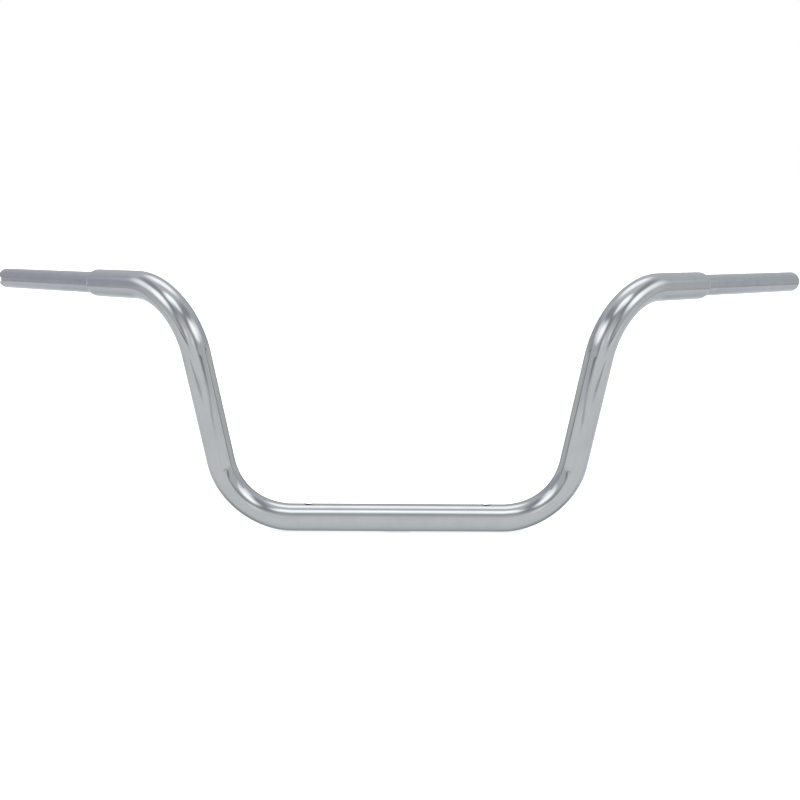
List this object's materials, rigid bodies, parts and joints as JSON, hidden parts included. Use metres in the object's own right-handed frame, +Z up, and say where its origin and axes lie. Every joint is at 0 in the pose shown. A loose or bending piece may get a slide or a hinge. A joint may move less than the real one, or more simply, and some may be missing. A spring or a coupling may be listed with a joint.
{
  "type": "motorcycle handlebar",
  "caption": "Wide pulled-back cruiser handlebar of fat chromed tube with thinner control ends, wire openings and throttle notches.",
  "frame": {"origin": "on the axis of the straight clamp section, halfway along it", "axes": "+X along the clamp section to the rider's left, +Y back towards the rider, +Z up along the plane of the risers; the throttle end is at -X"},
  "size_m": [1.0527, 0.26, 0.2946],
  "materials": {
    "polished_chrome": "polished",
    "satin_chrome": "satin",
    "weld_chrome": "dressed weld",
    "bare_steel": "unplated"
  },
  "bodies": {
    "root": {"bent_tube": "polished_chrome", "left_control_tube": "satin_chrome", "right_control_tube": "satin_chrome", "left_reducing_sleeve": "bare_steel", "right_reducing_sleeve": "bare_steel", "left_weld_ring": "weld_chrome", "right_weld_ring": "weld_chrome"}
  },
  "joints": []
}
